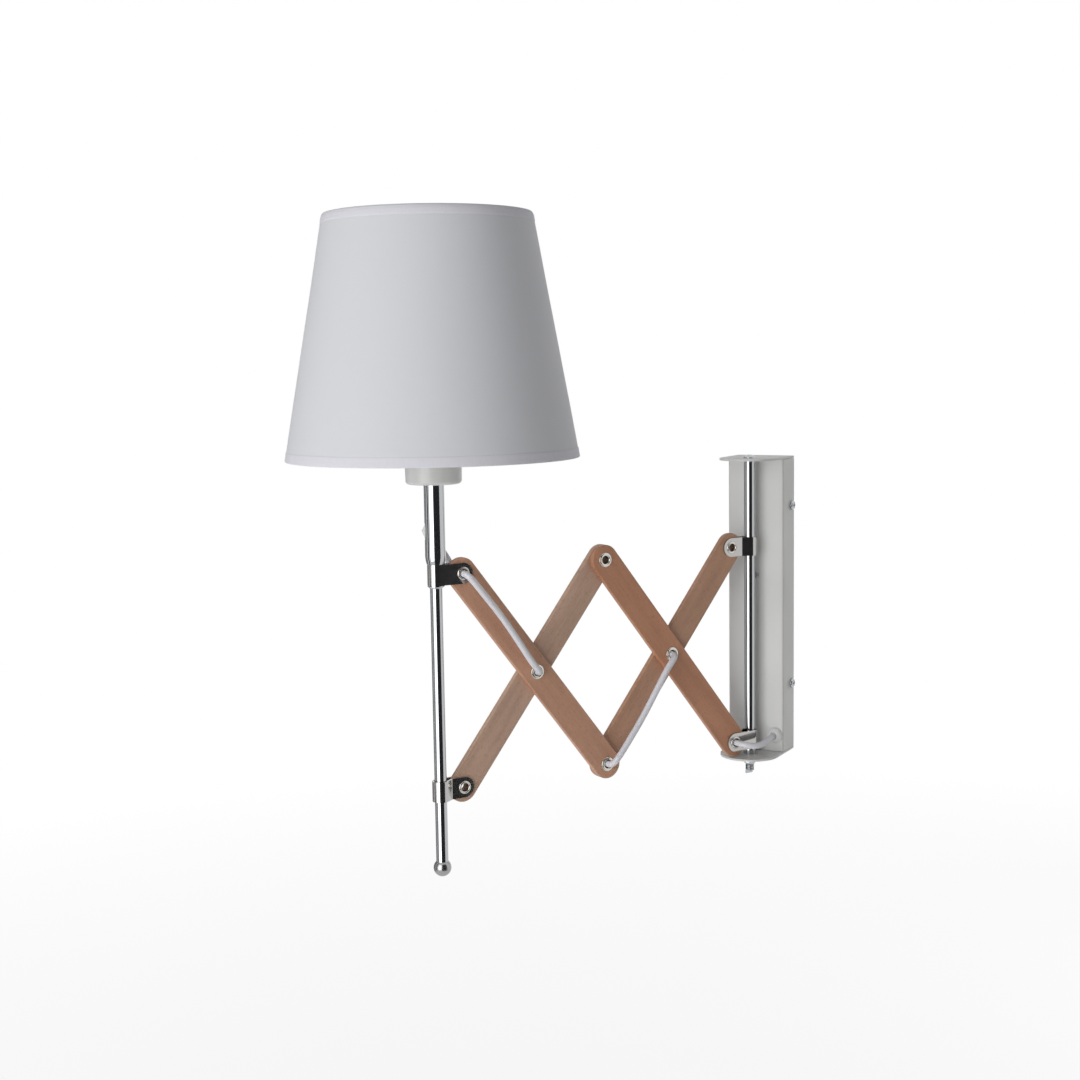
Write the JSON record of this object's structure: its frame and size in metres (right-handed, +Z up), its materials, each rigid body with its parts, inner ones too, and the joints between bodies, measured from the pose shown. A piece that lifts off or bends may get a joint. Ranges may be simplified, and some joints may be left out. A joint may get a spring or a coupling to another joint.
{
  "type": "accordion wall lamp",
  "caption": "Wall lamp on a folding scissor arm of beech slats, with a steel wall bracket, chromed rods and a white tapered shade.",
  "frame": {"origin": "middle of the bracket's back face, on the wall", "axes": "+Z up along the rods, +Y into the wall, +X to the right for someone who faces the wall"},
  "size_m": [0.261, 0.3782, 0.4604],
  "materials": {
    "bracket_paint": "satin",
    "chrome": "polished",
    "clip_steel": "polished",
    "rivet_nickel": "polished",
    "screw_zinc": "satin",
    "beech": "satin",
    "cord_pvc": "satin",
    "white_plastic": "satin",
    "ceramic": "glazed",
    "brass": "satin",
    "wire_enamel": "satin",
    "shade_fabric": "matte",
    "bulb_aluminium": "satin",
    "bulb_opal": "satin"
  },
  "bodies": {
    "root": {"wall_chassis": "bracket_paint", "bracket_cover": "bracket_paint", "cover_side_screws": "screw_zinc", "front_screw": "screw_zinc", "terminal_block": "white_plastic", "terminal_sleeves": "brass", "terminal_screws": "screw_zinc", "cable_grommet": "white_plastic", "wall_rod": "chrome", "rod_top_screw": "screw_zinc", "rod_foot_nut": "screw_zinc", "rod_foot_collar": "chrome", "cord_in_bracket": "cord_pvc", "cord_at_wall": "cord_pvc"},
    "lower_wall_clip": {"wall_clip_lower": "clip_steel", "rivet_wall_lower": "rivet_nickel"},
    "wall_front_slat": {"slat_wall_front": "beech", "rivet_cross_wall": "rivet_nickel", "rivet_joint_top": "rivet_nickel", "cord_behind_wall_slat": "cord_pvc"},
    "wall_rear_slat": {"slat_wall_rear": "beech", "cord_over_wall_slat": "cord_pvc"},
    "upper_wall_clip": {"wall_clip_upper": "clip_steel", "rivet_wall_upper": "rivet_nickel"},
    "lamp_rear_slat": {"slat_lamp_rear": "beech"},
    "lower_lamp_clip": {"lamp_clip_lower": "clip_steel", "rivet_lamp_lower": "rivet_nickel"},
    "lamp_front_slat": {"slat_lamp_front": "beech", "rivet_joint_bottom": "rivet_nickel", "rivet_cross_lamp": "rivet_nickel", "cord_behind_lamp_slat": "cord_pvc", "cord_over_lamp_slat": "cord_pvc"},
    "upper_lamp_clip": {"lamp_clip_upper": "clip_steel", "rivet_lamp_upper": "rivet_nickel", "cord_to_tube": "cord_pvc"},
    "lamp": {"lamp_rod": "chrome", "ball_end": "chrome", "clip_stop_ring": "chrome", "tube_taper": "chrome", "lamp_tube": "chrome", "cord_bush": "white_plastic", "switch_body": "white_plastic", "tube_bush": "brass", "lampholder_cap": "white_plastic", "holder_nut": "screw_zinc", "lampholder_body": "white_plastic", "holder_core": "ceramic", "contact_shell": "brass", "centre_contact": "brass", "shade_ring_nut": "white_plastic", "shade_frame": "wire_enamel", "shade_top_ring": "wire_enamel", "shade_cover": "shade_fabric", "bulb_cap": "bulb_aluminium", "bulb_glass": "bulb_opal", "cord_in_tube": "cord_pvc"},
    "switch_key": {"switch_rocker": "white_plastic"}
  },
  "joints": [
    {"name": "arm_swing", "type": "hinge", "parent": "root", "child": "lower_wall_clip", "pos_m": [0, -0.0368, -0.104], "axis": [0, 0, 1], "range_deg": [-45.7, 104.3], "deforming": ["cord_at_wall"]},
    {"name": "scissor_fold", "type": "hinge", "parent": "lower_wall_clip", "child": "wall_front_slat", "pos_m": [-0.00905, -0.05293, -0.104], "axis": [-0.8721, 0.4894, 0], "range_deg": [-38, 26]},
    {"name": "wall_cross_pivot", "type": "hinge", "parent": "wall_front_slat", "child": "wall_rear_slat", "pos_m": [-0.03828, -0.10501, -0.02756], "axis": [-0.8721, 0.4894, 0], "range_deg": [-52, 76]},
    {"name": "top_joint_pivot", "type": "hinge", "parent": "wall_front_slat", "child": "lamp_rear_slat", "pos_m": [-0.0675, -0.15709, 0.04887], "axis": [-0.8721, 0.4894, 0], "range_deg": [-52, 76]},
    {"name": "upper_wall_pivot", "type": "hinge", "parent": "wall_rear_slat", "child": "upper_wall_clip", "pos_m": [-0.00905, -0.05293, 0.04887], "axis": [-0.8721, 0.4894, 0], "range_deg": [-38, 26]},
    {"name": "bottom_joint_pivot", "type": "hinge", "parent": "wall_rear_slat", "child": "lamp_front_slat", "pos_m": [-0.0675, -0.15709, -0.104], "axis": [-0.8721, 0.4894, 0], "range_deg": [-76, 52]},
    {"name": "lower_lamp_pivot", "type": "hinge", "parent": "lamp_rear_slat", "child": "lower_lamp_clip", "pos_m": [-0.12596, -0.26125, -0.104], "axis": [-0.8721, 0.4894, 0], "range_deg": [-38, 26]},
    {"name": "upper_lamp_pivot", "type": "hinge", "parent": "lamp_front_slat", "child": "upper_lamp_clip", "pos_m": [-0.12596, -0.26125, 0.04887], "axis": [-0.8721, 0.4894, 0], "range_deg": [-26, 38]},
    {"name": "lamp_swivel", "type": "hinge", "parent": "upper_lamp_clip", "child": "lamp", "pos_m": [-0.13501, -0.27738, 0.04887], "axis": [0, 0, 1], "range_deg": [-60, 60], "deforming": ["cord_to_tube"]},
    {"name": "switch_tip", "type": "hinge", "parent": "lamp", "child": "switch_key", "pos_m": [-0.13902, -0.27964, 0.07912], "axis": [-0.4894, 0.8721, 0], "range_deg": [0, 12]}
  ],
  "couplings": [
    {"joint": "wall_cross_pivot", "follows": "scissor_fold", "ratio": -2},
    {"joint": "top_joint_pivot", "follows": "scissor_fold", "ratio": -2},
    {"joint": "upper_wall_pivot", "follows": "scissor_fold", "ratio": 1},
    {"joint": "bottom_joint_pivot", "follows": "scissor_fold", "ratio": 2},
    {"joint": "lower_lamp_pivot", "follows": "scissor_fold", "ratio": 1},
    {"joint": "upper_lamp_pivot", "follows": "scissor_fold", "ratio": -1}
  ]
}
